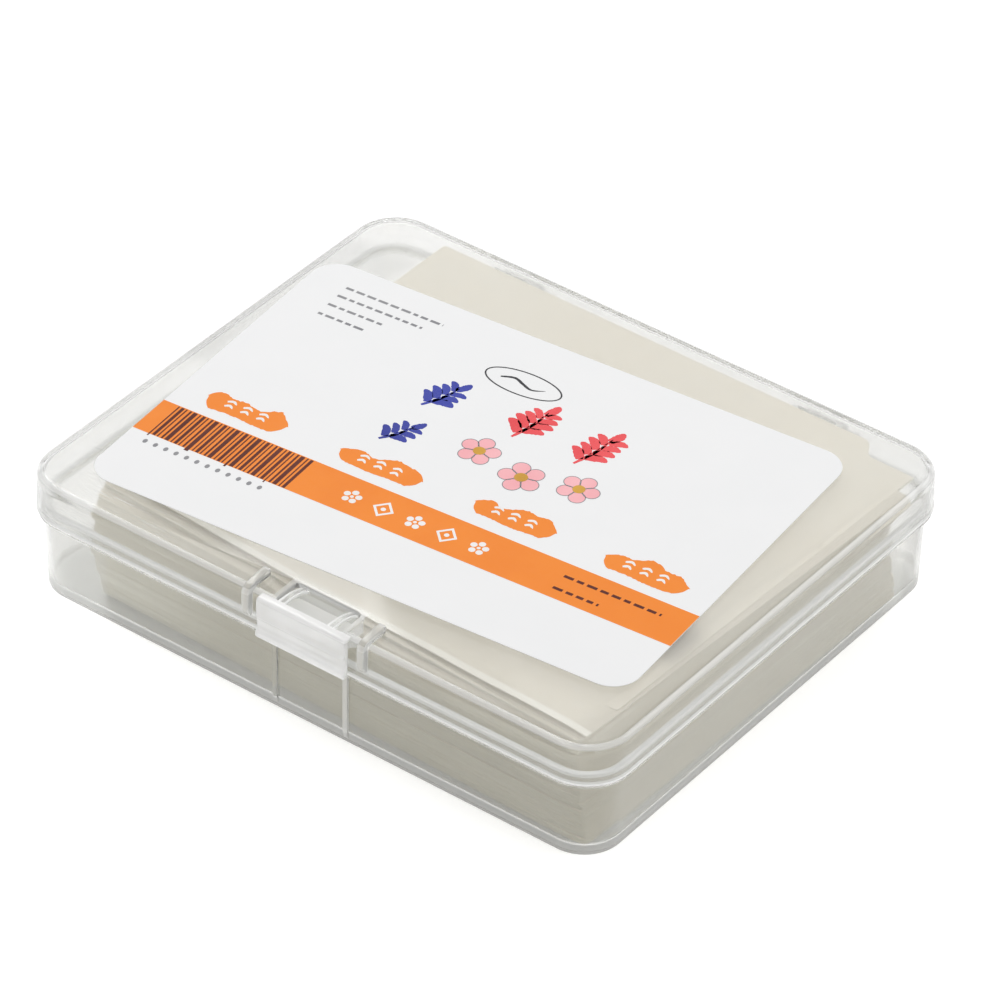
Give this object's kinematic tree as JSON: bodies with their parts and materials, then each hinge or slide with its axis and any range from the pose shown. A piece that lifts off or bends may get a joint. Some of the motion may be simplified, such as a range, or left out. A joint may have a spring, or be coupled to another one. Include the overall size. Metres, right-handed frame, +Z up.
{
  "type": "clear hinged box of edible rice paper",
  "caption": "Shallow clear plastic box with a hinged lid and a front latch, filled with a leaning stack of thin edible rice paper sheets under a plain label.",
  "frame": {"origin": "centre of the box's footprint, on the surface that it stands on", "axes": "+X along the long sides, -Y towards the latch, +Y towards the hinge, +Z up"},
  "size_m": [0.0934, 0.0826, 0.0192],
  "materials": {
    "clear_base": "clear, slightly hazy polypropylene with fine handling scratches",
    "clear_lid": "clear, slightly hazy polypropylene with fine handling scratches",
    "clear_latch": "clear polypropylene, milky where it is thick",
    "rice_paper": "matt, slightly translucent cream starch sheets",
    "label": "smooth satin white label with an orange band and plain colour fields"
  },
  "bodies": {
    "base": {"box_base": "clear_base", "rice_paper_stack": "rice_paper"},
    "lid": {"box_lid": "clear_lid", "label": "label"},
    "latch": {"latch_flap": "clear_latch"}
  },
  "joints": [
    {"name": "lid_hinge", "type": "hinge", "parent": "base", "child": "lid", "pos_m": [0, 0.0406, 0.012], "axis": [-1, 0, 0], "range_deg": [0, 180]},
    {"name": "latch_hinge", "type": "hinge", "parent": "lid", "child": "latch", "pos_m": [0.0012, -0.0349, 0.0175], "axis": [-1, 0, 0], "range_deg": [0, 95]}
  ]
}
